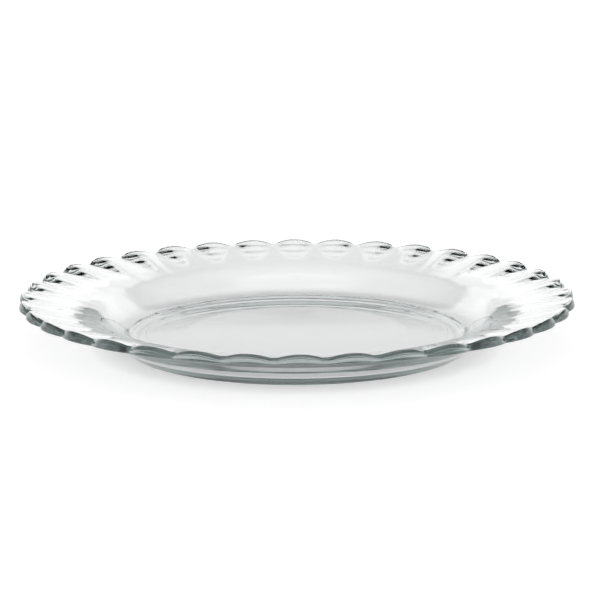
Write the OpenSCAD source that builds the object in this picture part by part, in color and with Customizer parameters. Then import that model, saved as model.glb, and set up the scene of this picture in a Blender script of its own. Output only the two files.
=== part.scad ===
// Scalloped dessert plate in clear pressed glass: one piece of glass, with a flat round
// well on a low foot ring, a curved wall, and a flared rim of raised rounded petals
// whose ends make the scalloped edge. All lengths are in millimetres.
// The origin is on the table, at the centre of the foot.

/* [Plate] */
// Width across the crests of the scallops
plate_d = 200; // [180:1:220]
// Height of the crests above the table
plate_h = 20; // [18:0.5:24]

/* [Scallops] */
// Number of petals round the rim
petal_count = 36; // [24:1:44]
// How far the notches between the petals cut in from the crests
notch_depth = 2.3; // [1.6:0.1:3]
// Radius of each petal's rounded back, from side to side
petal_back_r = 28.5; // [20:0.5:40]
// Length of each petal, from its nose on the rim to its crest
petal_len = 23.3; // [16:0.1:25]
// How far each petal stands above the rim at its crest
petal_rise = 1.4; // [0.8:0.1:2]

// Radius that rounds off the top of the edge at each crest
edge_round = 1.4; // [0.8:0.1:2]

/* [Rim] */
// Slope of the flared rim at its edge, in degrees
rim_slope = 12; // [8:1:16]
// Radius of the rim's slight curve from the shoulder out to its edge
rim_curve_r = 1000; // [500:50:2000]
// Thickness of the rim between the petals, measured straight down
rim_t = 2.5; // [2:0.1:3.5]

/* [Well] */
// Width of the flat floor
well_d = 111.6; // [100:0.2:116]
// Thickness of the floor
floor_t = 4; // [3:0.1:5]
// Radius of the cove between the floor and the wall
cove_r = 14; // [8:1:16]
// Steepest slope of the wall, in degrees
wall_slope = 34; // [30:1:40]
// Radius of the curve between the wall and the rim
shoulder_r = 20; // [10:1:22]

/* [Foot] */
// Width of the foot ring where it stands on the table
foot_d = 125; // [118:1:130]
// Width of the flat that the foot ring stands on
foot_flat_w = 7.6; // [5:0.2:9]
// Height above the table of the low cone under the floor, at its middle
foot_recess = 1.1; // [0.7:0.1:1.6]
// Width of the step just inside the foot ring's flat
foot_step_w = 1; // [0.5:0.1:2]
// Height of that step, where the low cone begins
foot_step_h = 0.4; // [0.2:0.1:0.6]
// Height of the foot ring's outer wall
foot_h = 2.4; // [1.5:0.1:3]
// How far the foot ring's outer wall leans out
foot_flare = 3; // [2:0.1:4]
// Slope of the underside of the wall, in degrees
under_slope = 38; // [34:1:44]
// Radius of the curve under the shoulder
under_shoulder_r = 24; // [15:1:26]

/* [Hidden] */
$fn = 96;
arc_steps = 8;
rim_steps = 6;
// What cuts and petals run past the faces that they must clear
overrun = 1;
// How far the rounding of the edge starts above the crests
edge_clear = 0.3;

// Radii and heights of the rim
crest_r = plate_d / 2;
notch_r = crest_r - notch_depth;
nose_r = crest_r - petal_len;
crest_base_z = plate_h - petal_rise;
petal_turn = 360 / petal_count;

// The slope of a petal's crest line, which leaves the rim at the nose
nose_z = rim_z(nose_r);
petal_slope = atan2(plate_h - nose_z, petal_len);
petal_half_w = notch_r * sin(petal_turn / 2) + overrun;
// Depth from a petal's crest line down to the flat that lies inside the rim
petal_seat = petal_half_w * petal_half_w / (2 * petal_back_r) + overrun / 2;

// Each scallop is an arc that goes through its crest and both its notches
scallop_r = (notch_r * notch_r - 2 * notch_r * crest_r * cos(petal_turn / 2) + crest_r * crest_r)
    / (2 * crest_r - 2 * notch_r * cos(petal_turn / 2));
scallop_centre_r = crest_r - scallop_r;

floor_z = foot_recess + floor_t;

// The rim's section is a large arc that ends at the crest radius with the rim's slope.
// Points here are [radius, height], and drop is how far below the crest's base it ends.
function rim_centre(drop) =
    [crest_r, crest_base_z - drop] + rim_curve_r * [sin(rim_slope), -cos(rim_slope)];
function rim_z(r, drop = 0) =
    let (c = rim_centre(drop))
    c[1] + sqrt(rim_curve_r * rim_curve_r - (r - c[0]) * (r - c[0]));

// Points on an arc round a centre, from one angle to the other
function arc(centre, r, from, to) = [
    for (i = [0:arc_steps])
        let (a = from + (to - from) * i / arc_steps)
        centre + r * [cos(a), sin(a)]
];

// Centre of the shoulder's arc, which touches both the rim's arc and a straight wall
// that climbs from start at the given slope
function shoulder_centre(start, slope, r, drop) =
    let (
        along = [cos(slope), sin(slope)],
        base = start + r * [sin(slope), -cos(slope)],
        away = base - rim_centre(drop),
        reach = rim_curve_r - r
    )
    base + (sqrt(pow(away * along, 2) - away * away + reach * reach) - away * along) * along;

// Shoulder and rim, from the top of the straight wall to past the crests
function wall_to_rim(start, slope, r, drop) =
    let (
        c = shoulder_centre(start, slope, r, drop),
        rim_c = rim_centre(drop),
        joint = atan2(c[1] - rim_c[1], c[0] - rim_c[0]),
        joint_r = rim_c[0] + rim_curve_r * cos(joint),
        rim_w = crest_r + overrun - joint_r
    )
    concat(
        arc(c, r, 90 + slope, joint),
        [
            for (i = [1:rim_steps])
                let (point_r = joint_r + rim_w * i / rim_steps)
                [point_r, rim_z(point_r, drop)]
        ]
    );

// Inside of the plate, from the middle of the floor to past the crests
function inside_points() =
    let (cove = arc([well_d / 2, floor_z + cove_r], cove_r, -90, wall_slope - 90))
    concat(
        [[0, floor_z]],
        cove,
        wall_to_rim(cove[arc_steps], wall_slope, shoulder_r, 0)
    );

// Underside, from the middle of the low cone to past the crests
function underside_points() =
    let (
        foot_top = [foot_d / 2 + foot_flare, foot_h],
        flat_end = foot_d / 2 - foot_flat_w
    )
    concat(
        [
            [0, foot_recess],
            [flat_end - foot_step_w, foot_step_h],
            [flat_end, 0],
            [foot_d / 2, 0],
            foot_top
        ],
        wall_to_rim(foot_top, under_slope, under_shoulder_r, rim_t)
    );

function reversed(points) = [for (i = [len(points) - 1:-1:0]) points[i]];

// The plain dish, before its edge is scalloped
module dish() {
    rotate_extrude()
        polygon(concat(inside_points(), reversed(underside_points())));
}

// One petal: a bar with a rounded back, which climbs out of the rim from nose to crest
module petal() {
    translate([nose_r, 0, nose_z])
        rotate([0, 90 - petal_slope, 0])
        translate([0, 0, -overrun])
        linear_extrude(petal_len / cos(petal_slope) + 2 * overrun)
        intersection() {
            translate([petal_back_r, 0])
                circle(petal_back_r);
            translate([0, -petal_half_w])
                square([petal_seat, 2 * petal_half_w]);
        }
}

// Everything inside one scallop's arc, with the top of its edge rounded off
module scallop_blank() {
    top_z = plate_h + edge_clear;
    rotate_extrude() {
        square([scallop_r, top_z - edge_round]);
        square([scallop_r - edge_round, top_z]);
        translate([scallop_r - edge_round, top_z - edge_round])
            circle(edge_round);
    }
}

// Everything inside the scalloped edge
module scalloped_outline() {
    cylinder(h = plate_h + overrun, r = scallop_centre_r);
    for (i = [0:petal_count - 1])
        rotate(i * petal_turn - 90)
            translate([scallop_centre_r, 0])
            scallop_blank();
}

module plate() {
    color([0.86, 0.9, 0.88, 0.6])
        intersection() {
            union() {
                dish();
                for (i = [0:petal_count - 1])
                    rotate(i * petal_turn - 90)
                        petal();
            }
            scalloped_outline();
        }
}

plate();
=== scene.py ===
import bpy
import bmesh
import math
from mathutils import Vector, Matrix


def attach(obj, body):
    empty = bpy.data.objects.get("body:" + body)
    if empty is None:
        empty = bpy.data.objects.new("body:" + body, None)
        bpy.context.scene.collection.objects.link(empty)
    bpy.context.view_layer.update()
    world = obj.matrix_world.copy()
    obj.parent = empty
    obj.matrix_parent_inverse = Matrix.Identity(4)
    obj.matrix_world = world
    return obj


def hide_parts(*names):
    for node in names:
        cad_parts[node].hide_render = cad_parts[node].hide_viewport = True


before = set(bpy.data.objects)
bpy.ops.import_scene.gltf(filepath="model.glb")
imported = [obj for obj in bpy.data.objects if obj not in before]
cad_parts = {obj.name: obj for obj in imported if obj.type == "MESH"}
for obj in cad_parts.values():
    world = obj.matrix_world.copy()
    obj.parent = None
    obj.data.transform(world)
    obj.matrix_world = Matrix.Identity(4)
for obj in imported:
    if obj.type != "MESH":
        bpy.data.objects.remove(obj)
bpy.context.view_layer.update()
scene = bpy.context.scene
mm = 0.001

print("frame loaded:", sorted(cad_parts))


# Camera and framing

cameraSettings = {
    "target": (0, 0, 16.8),     # mm, on the axis at the middle of the notches
    "distance": 848.4,          # mm from the target
    "elevation": 12.29,
    "azimuth": -0.59,           # a crest faces the camera, a little to its left
    "roll": -0.26,
    "lens": 143.12, "sensor": 36,
    "shift": (-0.00295, 0.00344),
    "clip": (0.01, 50),         # m
}


def makeCamera(s):
    data = bpy.data.cameras.new("plateCamera")
    data.sensor_width = s["sensor"]
    data.lens = s["lens"]
    data.shift_x, data.shift_y = s["shift"]
    data.clip_start, data.clip_end = s["clip"]
    data.dof.use_dof = False
    camera = bpy.data.objects.new("plateCamera", data)
    scene.collection.objects.link(camera)
    az, el = math.radians(s["azimuth"]), math.radians(s["elevation"])
    target = Vector(s["target"]) * mm
    back = Vector((math.sin(az) * math.cos(el), -math.cos(az) * math.cos(el), math.sin(el)))
    turn = back.to_track_quat("Z", "Y").to_matrix().to_4x4()
    camera.matrix_world = (Matrix.Translation(target + back * s["distance"] * mm)
                           @ turn @ Matrix.Rotation(math.radians(s["roll"]), 4, "Z"))
    scene.camera = camera


makeCamera(cameraSettings)
print("camera set")


# Plate of clear pressed glass, in mm and degrees. R is a radius from the axis, Z a height
# above the table, T a thickness, and a pair is a radius and a height.

plateSettings = {
    "petals": 36, "stepsPerPetal": 18,
    "crestR": 100.0, "notchR": 97.7,
    "crestZ": 19.95, "crestBaseZ": 18.6,
    "rimSlope": 12, "rimT": 2.5,
    "noseR": 76.7, "petalBackR": 28.5,
    "coveEndR": 60.08, "floorZ": 5.1, "coveR": 14,
    "wallSlope": 34, "shoulderR": 20,
    "footTop": (65.5, 2.4), "footOuter": (62.5, 0), "footInner": (54.9, 0),
    "recess": (54.6, 0.05), "dome": (40, 0.5), "centreZ": 0.9,
    "underSlope": 38, "underShoulderR": 24,
    "edgeTopRound": 1.65, "edgeLowRound": 0.5,
    "creaseRound": 1.0, "footRound": 0.3, "recessRound": 0.2,
    "coneRound": 120,
    "valleySoft": 0.2, "notchSoft": 0.25,
    "crestBow": -0.3,           # rise of the crest line at half its length; below zero it dips
    "beforeNose": 4,            # how far inside the petals' noses the shaping begins
    "mergeGap": 0.001,
}


def tanDeg(angle):
    return math.tan(math.radians(angle))


def meetLines(a, slopeA, b, slopeB):
    # where two sloping lines of the section cross
    ta, tb = tanDeg(slopeA), tanDeg(slopeB)
    r = (b[1] - a[1] + a[0] * ta - b[0] * tb) / (ta - tb)
    return (r, a[1] + (r - a[0]) * ta)


degreesPerStep, leastSteps = 5, 3    # on the rounding of a corner


def roundedChain(corners):
    # each corner is (point, radius of its rounding, steps on the straight after it)
    points = []
    pulled = []
    for i, (p, radius, _) in enumerate(corners):
        here = Vector(p)
        if radius == 0 or i in (0, len(corners) - 1):
            pulled.append((here, here, None))
            continue
        before = (Vector(corners[i - 1][0]) - here).normalized()
        after = (Vector(corners[i + 1][0]) - here).normalized()
        half = before.angle(after) / 2
        reach = radius / math.tan(half)
        centre = here + (before + after).normalized() * radius / math.sin(half)
        pulled.append((here + before * reach, here + after * reach, centre))
    for i, (start, end, centre) in enumerate(pulled):
        if centre is None:
            points.append(start)
        else:
            a, b = start - centre, end - centre
            turn = a.angle_signed(b)
            steps = max(leastSteps, round(abs(math.degrees(turn)) / degreesPerStep))
            points += [centre + Matrix.Rotation(-turn * k / steps, 2) @ a for k in range(steps + 1)]
        if i < len(pulled) - 1:
            far = pulled[i + 1][0]
            steps = corners[i][2]
            points += [end.lerp(far, k / steps) for k in range(1, steps)]
    return points


def plateSection(s):
    rimEdge = (s["crestR"], s["crestBaseZ"])
    underEdge = (s["crestR"], s["crestBaseZ"] - s["rimT"])
    wallFoot = (s["coveEndR"], s["floorZ"])
    return roundedChain([
        ((0, s["floorZ"]), 0, 4),
        (wallFoot, s["coveR"], 3),
        (meetLines(wallFoot, s["wallSlope"], rimEdge, s["rimSlope"]), s["shoulderR"], 26),
        (rimEdge, s["edgeTopRound"], 5),
        (underEdge, s["edgeLowRound"], 10),
        (meetLines(s["footTop"], s["underSlope"], underEdge, s["rimSlope"]), s["underShoulderR"], 4),
        (s["footTop"], s["creaseRound"], 2),
        (s["footOuter"], s["footRound"], 2),
        (s["footInner"], s["footRound"], 3),
        (s["recess"], s["recessRound"], 4),
        (s["dome"], s["coneRound"], 2),
        ((0, s["centreZ"]), 0, 1),
    ])


def smoothMax(a, b, soft):
    near = max(soft - abs(a - b), 0) / soft
    return max(a, b) + near * near * soft / 4


def outlineR(turn, s):
    # radius of the scalloped edge at an angle from the nearest crest
    half = math.pi / s["petals"]
    c, n = s["crestR"], s["notchR"]
    arcR = (n * n - 2 * n * c * math.cos(half) + c * c) / (2 * c - 2 * n * math.cos(half))
    centre = c - arcR
    own, other = [centre * math.cos(t) + math.sqrt(arcR ** 2 - (centre * math.sin(t)) ** 2)
                  for t in (turn, 2 * half - abs(turn))]
    return smoothMax(own, other, s["notchSoft"])


def rimZ(r, s):
    return s["crestBaseZ"] - (s["crestR"] - r) * tanDeg(s["rimSlope"])


def petalLift(r, turn, s):
    # how far a petal's rounded back stands above the rim
    noseZ = rimZ(s["noseR"], s)
    climb = (s["crestZ"] - noseZ) / (s["crestR"] - s["noseR"])
    base = rimZ(r, s)

    def backZ(t):
        out, side = r * math.cos(t), r * math.sin(t)
        along = (out - s["noseR"]) / (s["crestR"] - s["noseR"])
        bow = 4 * s["crestBow"] * along * (1 - along)
        return noseZ + (out - s["noseR"]) * climb + bow - side * side / (2 * s["petalBackR"])

    pitch = 2 * math.pi / s["petals"]
    top = smoothMax(backZ(turn), backZ(pitch - abs(turn)), s["valleySoft"])
    return smoothMax(base, top, s["valleySoft"]) - base


def shapePetal(bm, s):
    # raises the petal's back out of the rim and draws its end in to the scalloped edge
    pitch = 2 * math.pi / s["petals"]
    for v in bm.verts:
        r = math.hypot(v.co.x, v.co.y)
        if r < s["noseR"] - s["beforeNose"]:
            continue
        angle = math.atan2(v.co.y, v.co.x)
        turn = (angle + math.pi / 2 + pitch / 2) % pitch - pitch / 2
        low = rimZ(r, s) - s["rimT"]
        share = min(max((v.co.z - low) / s["rimT"], 0), 1)
        ease = min(max((r - s["noseR"]) / (s["notchR"] - s["noseR"]), 0), 1)
        newR = r + ease * (outlineR(turn, s) - s["crestR"])
        z = v.co.z + rimZ(newR, s) - rimZ(r, s) + share * petalLift(newR, turn, s)
        v.co = (newR * math.cos(angle), newR * math.sin(angle), z)


def makePlate(s):
    # one petal's slice of the plate is spun and shaped, then repeated round the axis
    bm = bmesh.new()
    chain = [bm.verts.new((p[0], 0, p[1])) for p in plateSection(s)]
    edges = [bm.edges.new(pair) for pair in zip(chain, chain[1:])]
    pitch = 2 * math.pi / s["petals"]
    axis = {"cent": (0, 0, 0), "axis": (0, 0, 1), "dvec": (0, 0, 0)}
    bmesh.ops.spin(bm, geom=chain + edges, angle=pitch, steps=s["stepsPerPetal"], **axis)
    shapePetal(bm, s)
    bmesh.ops.spin(bm, geom=bm.verts[:] + bm.edges[:] + bm.faces[:], use_duplicate=True,
                   angle=2 * math.pi - pitch, steps=s["petals"] - 1, **axis)
    bmesh.ops.remove_doubles(bm, verts=bm.verts, dist=s["mergeGap"])
    bmesh.ops.recalc_face_normals(bm, faces=bm.faces)
    if bm.calc_volume(signed=True) < 0:
        bmesh.ops.reverse_faces(bm, faces=bm.faces)
    bmesh.ops.scale(bm, vec=(mm, mm, mm), verts=bm.verts)
    for face in bm.faces:
        face.smooth = True
    mesh = bpy.data.meshes.new("plateGlass")
    bm.to_mesh(mesh)
    bm.free()
    plate = bpy.data.objects.new("plateGlass", mesh)
    scene.collection.objects.link(plate)
    return plate


def setEnds(node, side, ends):
    # the lower and upper end of a Map Range node, on its From or its To side
    for end, value in zip((" Min", " Max"), ends):
        node.inputs[side + end].default_value = value


glassSettings = {
    "colour": (1, 1, 1, 1), "ior": 1.52,
    "tint": (0.885, 0.903, 0.9, 1), "density": 100,
    # ripples that the mould leaves in pressed glass, in mm
    "rippleSize": 14, "rippleHeight": 0.003, "rippleDetail": 1.0,
    # the fire polish is a little less smooth in patches
    "patchSize": 25, "roughness": (0.0, 0.004),
}


def clearGlass(s):
    material = bpy.data.materials.new("clearGlass")
    material.use_nodes = True
    nodes, links = material.node_tree.nodes, material.node_tree.links
    shader = nodes["Principled BSDF"]
    shader.inputs["Base Color"].default_value = s["colour"]
    shader.inputs["IOR"].default_value = s["ior"]
    shader.inputs["Transmission Weight"].default_value = 1
    where = nodes.new("ShaderNodeTexCoord")
    ripple = nodes.new("ShaderNodeTexNoise")
    ripple.inputs["Scale"].default_value = 1 / (s["rippleSize"] * mm)
    ripple.inputs["Detail"].default_value = s["rippleDetail"]
    links.new(where.outputs["Object"], ripple.inputs["Vector"])
    bump = nodes.new("ShaderNodeBump")
    bump.inputs["Strength"].default_value = 1
    bump.inputs["Distance"].default_value = s["rippleHeight"] * mm
    links.new(ripple.outputs[0], bump.inputs["Height"])
    links.new(bump.outputs["Normal"], shader.inputs["Normal"])
    patch = nodes.new("ShaderNodeTexNoise")
    patch.inputs["Scale"].default_value = 1 / (s["patchSize"] * mm)
    links.new(where.outputs["Object"], patch.inputs["Vector"])
    polish = nodes.new("ShaderNodeMapRange")
    setEnds(polish, "To", s["roughness"])
    links.new(patch.outputs[0], polish.inputs["Value"])
    links.new(polish.outputs[0], shader.inputs["Roughness"])
    absorb = nodes.new("ShaderNodeVolumeAbsorption")
    absorb.inputs["Color"].default_value = s["tint"]
    absorb.inputs["Density"].default_value = s["density"]
    links.new(absorb.outputs["Volume"], nodes["Material Output"].inputs["Volume"])
    return material


plateGlass = makePlate(plateSettings)
plateGlass.data.materials.append(clearGlass(glassSettings))
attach(plateGlass, "root")
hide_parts("plate")
print("plate made:", len(plateGlass.data.polygons), "faces")


# Studio: a white table in a white tent, with a dark gap behind that gives the glass its edges

studioSettings = {
    "tableSize": 8, "tableAlbedo": 0.8,
    "tableGap": 0.05,           # mm between the foot's flat and the table
    # the glow in the open and in the painted shadow right under the plate, and how far from it the
    # two meet, in mm
    "tableGlow": 0.52, "glowInPaintedShadow": 0.3, "reach": 8, "paintedShadowSamples": 4,
    "bounces": 32, "glossyBounces": 24,
    "tent": 0.75,
    # each patch changes the tent's level between two turns away from the back and two
    # heights, and fades over some degrees of turn and of height
    "patches": {
        "gap": {"turn": (-60, 52), "height": (30, 68), "soft": (20, 6), "level": -1.6},
        "back": {"turn": (-60, 60), "height": (-100, 31), "soft": (20, 6), "level": 0.6},
        "low": {"turn": (25, 112), "height": (-100, 18), "soft": (15, 8), "level": 1.0},
        "front": {"turn": (112, 240), "height": (10, 36), "soft": (20, 10), "level": 1.0},
        "top": {"turn": (-60, 240), "height": (66, 140), "soft": (10, 10), "level": 0.5},
    },
}


def whiteTable(s):
    material = bpy.data.materials.new("whiteTable")
    material.use_nodes = True
    nodes, links = material.node_tree.nodes, material.node_tree.links
    nodes.clear()
    out = nodes.new("ShaderNodeOutputMaterial")
    paper = nodes.new("ShaderNodeBsdfDiffuse")
    paper.inputs["Color"].default_value = (s["tableAlbedo"],) * 3 + (1,)
    # the glow stands for the room's fill light, and ambient occlusion dims it in under and near the
    # plate, which paints a soft contact shadow on the table
    reach = nodes.new("ShaderNodeAmbientOcclusion")
    reach.samples = s["paintedShadowSamples"]
    reach.inputs["Distance"].default_value = s["reach"] * mm
    level = nodes.new("ShaderNodeMapRange")
    # painted shadow: the glow falls from its open level to its level under the plate where the
    # occlusion closes in
    setEnds(level, "To", (s["glowInPaintedShadow"], s["tableGlow"]))
    links.new(reach.outputs["AO"], level.inputs["Value"])
    glow = nodes.new("ShaderNodeEmission")
    links.new(level.outputs[0], glow.inputs["Color"])
    links.new(seenRays(nodes, links), glow.inputs["Strength"])
    both = nodes.new("ShaderNodeAddShader")
    links.new(paper.outputs[0], both.inputs[0])
    links.new(glow.outputs[0], both.inputs[1])
    links.new(both.outputs[0], out.inputs["Surface"])
    return material


def seenRays(nodes, links):
    # 1 for camera, glossy and transmission rays
    path = nodes.new("ShaderNodeLightPath")
    first = nodes.new("ShaderNodeMath")
    first.operation = "MAXIMUM"
    links.new(path.outputs["Is Camera Ray"], first.inputs[0])
    links.new(path.outputs["Is Glossy Ray"], first.inputs[1])
    both = nodes.new("ShaderNodeMath")
    both.operation = "MAXIMUM"
    links.new(first.outputs[0], both.inputs[0])
    links.new(path.outputs["Is Transmission Ray"], both.inputs[1])
    return both.outputs[0]


def makeTable(s):
    bm = bmesh.new()
    bmesh.ops.create_grid(bm, x_segments=1, y_segments=1, size=s["tableSize"] / 2,
                          matrix=Matrix.Translation((0, 0, -s["tableGap"] * mm)))
    mesh = bpy.data.meshes.new("table")
    bm.to_mesh(mesh)
    bm.free()
    table = bpy.data.objects.new("table", mesh)
    scene.collection.objects.link(table)
    mesh.materials.append(whiteTable(s))


def makeStudio(s):
    world = bpy.data.worlds.new("studio")
    scene.world = world
    world.use_nodes = True
    nodes, links = world.node_tree.nodes, world.node_tree.links
    nodes.clear()

    def calc(operation, *values):
        node = nodes.new("ShaderNodeMath")
        node.operation = operation
        for socket, value in zip(node.inputs, values):
            if isinstance(value, (int, float)):
                socket.default_value = value
            else:
                links.new(value, socket)
        return node.outputs[0]

    def ramp(value, low, high):
        # 0 below low and 1 above high, in degrees
        node = nodes.new("ShaderNodeMapRange")
        node.interpolation_type = "SMOOTHSTEP"
        setEnds(node, "From", (math.radians(low), math.radians(high)))
        links.new(value, node.inputs["Value"])
        return node.outputs[0]

    def between(value, ends, soft):
        low, high = [(end - soft / 2, end + soft / 2) for end in ends]
        return calc("MULTIPLY", ramp(value, *low), calc("SUBTRACT", 1, ramp(value, *high)))

    where = nodes.new("ShaderNodeTexCoord")
    axes = nodes.new("ShaderNodeSeparateXYZ")
    links.new(where.outputs["Generated"], axes.inputs[0])
    height = calc("ARCSINE", calc("MINIMUM", calc("MAXIMUM", axes.outputs["Z"], -1), 1))
    turn = calc("ABSOLUTE", calc("ARCTAN2", axes.outputs["X"], axes.outputs["Y"]))
    total = s["tent"]
    for patch in s["patches"].values():
        shape = calc("MULTIPLY", between(turn, patch["turn"], patch["soft"][0]),
                     between(height, patch["height"], patch["soft"][1]))
        total = calc("ADD", total, calc("MULTIPLY", shape, patch["level"]))
    sky = nodes.new("ShaderNodeBackground")
    links.new(calc("MAXIMUM", total, 0), sky.inputs["Strength"])
    out = nodes.new("ShaderNodeOutputWorld")
    links.new(sky.outputs[0], out.inputs["Surface"])


makeTable(studioSettings)
makeStudio(studioSettings)
scene.view_settings.view_transform = "Standard"
scene.cycles.max_bounces = studioSettings["bounces"]
scene.cycles.transmission_bounces = studioSettings["bounces"]
scene.cycles.glossy_bounces = studioSettings["glossyBounces"]
print("studio set")
